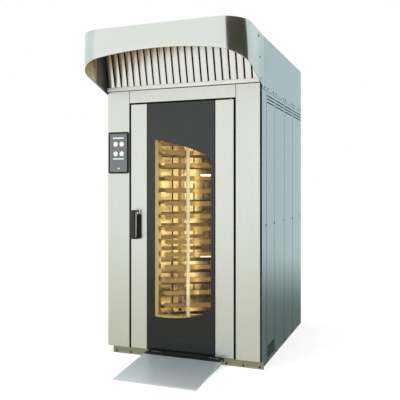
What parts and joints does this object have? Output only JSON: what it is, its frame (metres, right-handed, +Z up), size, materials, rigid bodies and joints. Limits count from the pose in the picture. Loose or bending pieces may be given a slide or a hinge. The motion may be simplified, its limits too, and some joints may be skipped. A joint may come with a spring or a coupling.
{
  "type": "rotary rack pastry oven",
  "caption": "Free-standing rotary rack oven with curved steam hood, touch panel, glazed hinged door, turning trolley inside and a lift-up loading ramp.",
  "frame": {"origin": "on the floor, in the middle of the cabinet's footprint", "axes": "+Z up, +X to the right of a person facing the door, the door looks along -Y"},
  "size_m": [1.3675, 2.191, 2.631],
  "materials": {
    "front_steel": "satin brushed stainless, warm light grey",
    "side_steel": "satin stainless, blue grey",
    "liner_steel": "plain stainless",
    "frame_paint": "grey primer",
    "seal_rubber": "matt black silicone",
    "bright_screws": "bright steel",
    "pin_steel": "machined steel",
    "mineral_wool": "matt felted wool",
    "heater_steel": "heat-tinted steel",
    "motor_paint": "semi-gloss paint",
    "lamp_glass": "warm lamp",
    "black_plastic": "satin black",
    "screen_glass": "gloss grey touch glass",
    "icon_white": "lit pale discs",
    "clear_glass": "clear toughened glass",
    "glass_print": "dark enamel print",
    "bright_chrome": "polished",
    "castor_resin": "heat-proof resin"
  },
  "bodies": {
    "cabinet": {"base_frame": "frame_paint", "plinth": "side_steel", "threshold": "liner_steel", "left_pillar": "front_steel", "right_pillar": "front_steel", "header_panel": "front_steel", "front_wall": "liner_steel", "left_side_panels": "side_steel", "right_side_panels": "side_steel", "rear_panels": "side_steel", "roof_panel": "side_steel", "panel_screws": "bright_screws", "door_pivots": "pin_steel", "chamber_liner": "liner_steel", "insulation": "mineral_wool", "air_panels": "liner_steel", "heating_elements": "heater_steel", "steam_generator": "heater_steel", "exhaust_duct": "liner_steel", "fan_motor": "motor_paint", "rack_gearmotor": "motor_paint", "floor_bearing": "pin_steel", "electrics": "motor_paint", "lamp_tubes": "lamp_glass", "hood_fan_housing": "liner_steel", "hood_band": "front_steel", "hood_top": "front_steel", "steam_filter": "front_steel", "drip_trough": "front_steel", "control_bezel": "black_plastic", "control_glass": "screen_glass", "control_icons": "icon_white", "ramp_hinge": "pin_steel"},
    "door": {"door_left_stile": "front_steel", "door_right_stile": "front_steel", "door_outer_glass": "clear_glass", "door_print": "glass_print", "door_core": "mineral_wool", "door_back": "liner_steel", "door_gasket": "seal_rubber", "door_inner_glass": "clear_glass", "door_fittings": "pin_steel", "handle_base": "black_plastic", "handle_cap": "bright_chrome"},
    "handle": {"handle_grip": "black_plastic"},
    "ramp": {"ramp_plate": "side_steel"},
    "rack": {"turntable": "liner_steel", "drive_shaft": "pin_steel", "trolley_frame": "liner_steel", "trolley_runners": "liner_steel", "castor_mounts": "pin_steel"},
    "near_swivel": {"swivel_fork_near": "pin_steel"},
    "far_swivel": {"swivel_fork_far": "pin_steel"},
    "wheel_1": {"castor_wheel_1": "castor_resin"},
    "wheel_2": {"castor_wheel_2": "castor_resin"},
    "wheel_3": {"castor_wheel_3": "castor_resin"},
    "wheel_4": {"castor_wheel_4": "castor_resin"},
    "fan": {"fan_impeller": "liner_steel"},
    "hood_fan": {"hood_fan_impeller": "liner_steel"},
    "damper": {"damper_flap": "liner_steel"}
  },
  "joints": [
    {"name": "door_hinge", "type": "hinge", "parent": "cabinet", "child": "door", "pos_m": [0.419, -0.755, 0.058], "axis": [0, 0, 1], "range_deg": [0, 115]},
    {"name": "handle_lever", "type": "hinge", "parent": "door", "child": "handle", "pos_m": [-0.368, -0.816, 1.085], "axis": [0, 0, 1], "range_deg": [0, 30], "stiffness_Nm_per_rad": 1.5},
    {"name": "ramp_lift", "type": "hinge", "parent": "cabinet", "child": "ramp", "pos_m": [0.04, -0.794, 0.043], "axis": [-1, 0, 0], "range_deg": [0, 45]},
    {"name": "rack_turn", "type": "hinge", "parent": "cabinet", "child": "rack", "pos_m": [0, -0.107, 0.05], "axis": [0, 0, 1], "continuous": true},
    {"name": "near_castor_swivel", "type": "hinge", "parent": "rack", "child": "near_swivel", "pos_m": [-0.19061, -0.47686, 0.17], "axis": [0, 0, 1], "continuous": true},
    {"name": "far_castor_swivel", "type": "hinge", "parent": "rack", "child": "far_swivel", "pos_m": [-0.41561, -0.08714, 0.17], "axis": [0, 0, 1], "continuous": true},
    {"name": "wheel_1_spin", "type": "hinge", "parent": "near_swivel", "child": "wheel_1", "pos_m": [-0.16463, -0.46186, 0.1063], "axis": [-0.5, 0.866, 0], "continuous": true},
    {"name": "wheel_2_spin", "type": "hinge", "parent": "far_swivel", "child": "wheel_2", "pos_m": [-0.38963, -0.07214, 0.1063], "axis": [-0.5, 0.866, 0], "continuous": true},
    {"name": "wheel_3_spin", "type": "hinge", "parent": "rack", "child": "wheel_3", "pos_m": [0.41561, -0.12686, 0.1063], "axis": [-0.5, 0.866, 0], "continuous": true},
    {"name": "wheel_4_spin", "type": "hinge", "parent": "rack", "child": "wheel_4", "pos_m": [0.19061, 0.26286, 0.1063], "axis": [-0.5, 0.866, 0], "continuous": true},
    {"name": "fan_spin", "type": "hinge", "parent": "cabinet", "child": "fan", "pos_m": [0, 0.539, 1.95], "axis": [0, 0, 1], "continuous": true},
    {"name": "hood_fan_spin", "type": "hinge", "parent": "cabinet", "child": "hood_fan", "pos_m": [0.33, -0.478, 2.266], "axis": [0, 1, 0], "continuous": true},
    {"name": "damper_turn", "type": "hinge", "parent": "cabinet", "child": "damper", "pos_m": [-0.4, 0.539, 2.36], "axis": [1, 0, 0], "range_deg": [0, 90]}
  ]
}
